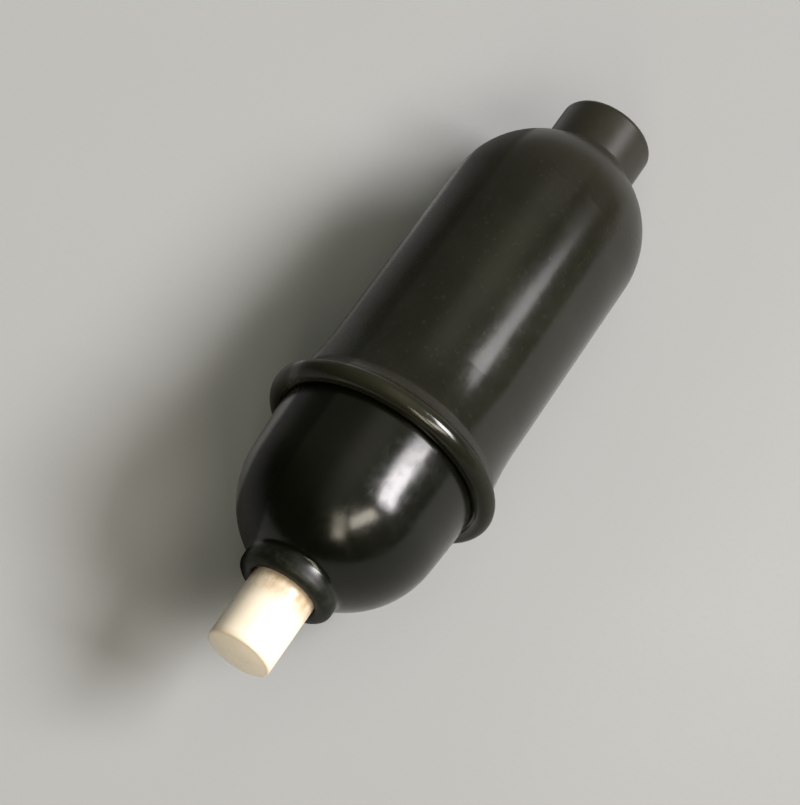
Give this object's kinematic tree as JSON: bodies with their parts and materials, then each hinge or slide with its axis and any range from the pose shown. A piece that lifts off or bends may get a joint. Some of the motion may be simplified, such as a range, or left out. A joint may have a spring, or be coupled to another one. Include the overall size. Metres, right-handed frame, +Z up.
{
  "type": "electric push-button release",
  "caption": "Hand-held electric push-button release: a round moulded handle with a bead, a screwed domed cap, a sprung button and a bored cord neck.",
  "frame": {"origin": "under the middle of the bounding box, on the surface that the release lies on", "axes": "the release lies on its side: the button points towards -Y and 3.58 degrees upwards, the cord neck towards +Y; +Z is up; X is across the axis"},
  "size_m": [0.0308, 0.088, 0.0307],
  "materials": {
    "handle_moulding": "dark phenolic moulding, worn satin gloss",
    "cap_moulding": "dark phenolic moulding, polished",
    "button_moulding": "cream casein or urea moulding, aged",
    "base_moulding": "brown phenolic moulding",
    "strip_brass": "rolled sheet, dull",
    "turned_brass": "turned",
    "contact_silver": "fine silver, satin",
    "spring_steel": "drawn wire, plain",
    "screw_steel": "nickel plated"
  },
  "bodies": {
    "handle": {"handle_body": "handle_moulding", "contact_base": "base_moulding", "right_contact_strip": "strip_brass", "left_contact_strip": "strip_brass", "right_contact_point": "contact_silver", "left_contact_point": "contact_silver", "terminal_inserts": "turned_brass", "terminal_washers": "strip_brass", "terminal_screws": "turned_brass", "base_screw_washers": "screw_steel", "base_screws": "screw_steel"},
    "spring": {"return_spring": "spring_steel"},
    "cap": {"front_cap": "cap_moulding"},
    "button": {"push_button": "button_moulding", "contact_disc": "strip_brass", "disc_lock_washer": "screw_steel", "disc_screw": "turned_brass"}
  },
  "joints": [
    {"name": "cap_lift", "type": "slide", "parent": "handle", "child": "spring", "axis": [0, -0.998, 0.0624], "range_m": [0, 0.00525]},
    {"name": "cap_turn", "type": "hinge", "parent": "spring", "child": "cap", "pos_m": [0, -0.01243, 0.01537], "axis": [0, -0.998, 0.0624], "range_deg": [0, 1260]},
    {"name": "button_press", "type": "slide", "parent": "cap", "child": "button", "axis": [0, 0.998, -0.0624], "range_m": [0, 0.003], "stiffness_N_per_m": 705, "springref_m": -0.003, "deforming": ["return_spring"]}
  ],
  "couplings": [
    {"joint": "cap_turn", "follows": "cap_lift", "rad_per_m": 4188.8}
  ]
}
